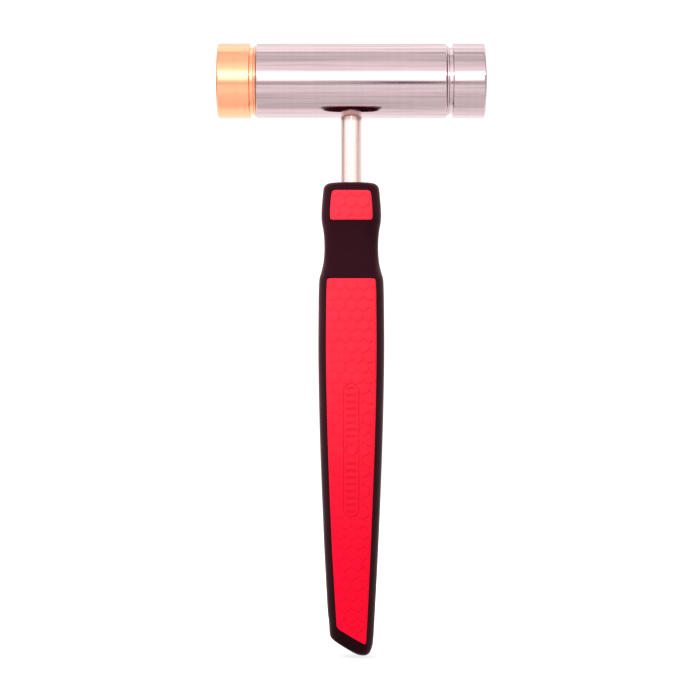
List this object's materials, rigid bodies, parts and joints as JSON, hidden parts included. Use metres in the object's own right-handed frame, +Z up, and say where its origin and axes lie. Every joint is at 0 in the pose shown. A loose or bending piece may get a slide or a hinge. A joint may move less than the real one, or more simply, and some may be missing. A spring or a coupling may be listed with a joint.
{
  "type": "double-faced bench hammer",
  "caption": "Small bench hammer with a round steel head, a screw-in brass face and a screw-in steel face, on a slim rod with a long rubber grip.",
  "frame": {"origin": "on the rod's axis, at the height of the lowest point of the handle's tail", "axes": "+Z up the handle to the head, +X along the head from the brass face to the steel face, -Y to the front of the handle"},
  "size_m": [0.1024, 0.0286, 0.2341],
  "materials": {
    "polished_steel": "polished chrome over turned steel",
    "bright_rod": "bright drawn steel",
    "black_steel": "black oxide",
    "brass": "turned and polished",
    "ring_rubber": "matt",
    "core_nylon": "moulded",
    "black_rubber": "fine matt moulding",
    "red_rubber": "matt moulding with a hexagon pattern"
  },
  "bodies": {
    "root": {"head_barrel": "polished_steel", "handle_rod": "bright_rod", "rod_lock_screws": "black_steel", "handle_core": "core_nylon", "grip_overmould": "black_rubber", "front_grip_pad": "red_rubber", "front_neck_pad": "red_rubber", "rear_grip_pad": "red_rubber", "rear_neck_pad": "red_rubber"},
    "brass_carrier": {"brass_face_ring": "ring_rubber"},
    "brass_face": {"brass_face": "brass"},
    "steel_carrier": {"steel_face_ring": "ring_rubber"},
    "steel_face": {"steel_face": "polished_steel"}
  },
  "joints": [
    {"name": "brass_face_travel", "type": "slide", "parent": "root", "child": "brass_carrier", "axis": [-1, 0, 0], "range_m": [0, 0.0105]},
    {"name": "brass_face_turn", "type": "hinge", "parent": "brass_carrier", "child": "brass_face", "pos_m": [-0.0363, 0, 0.2198], "axis": [-1, 0, 0], "range_deg": [0, 2172]},
    {"name": "steel_face_travel", "type": "slide", "parent": "root", "child": "steel_carrier", "axis": [1, 0, 0], "range_m": [0, 0.0105]},
    {"name": "steel_face_turn", "type": "hinge", "parent": "steel_carrier", "child": "steel_face", "pos_m": [0.0363, 0, 0.2198], "axis": [1, 0, 0], "range_deg": [0, 2172]}
  ],
  "couplings": [
    {"joint": "brass_face_turn", "follows": "brass_face_travel", "rad_per_m": 3590.4},
    {"joint": "steel_face_turn", "follows": "steel_face_travel", "rad_per_m": 3590.4}
  ]
}
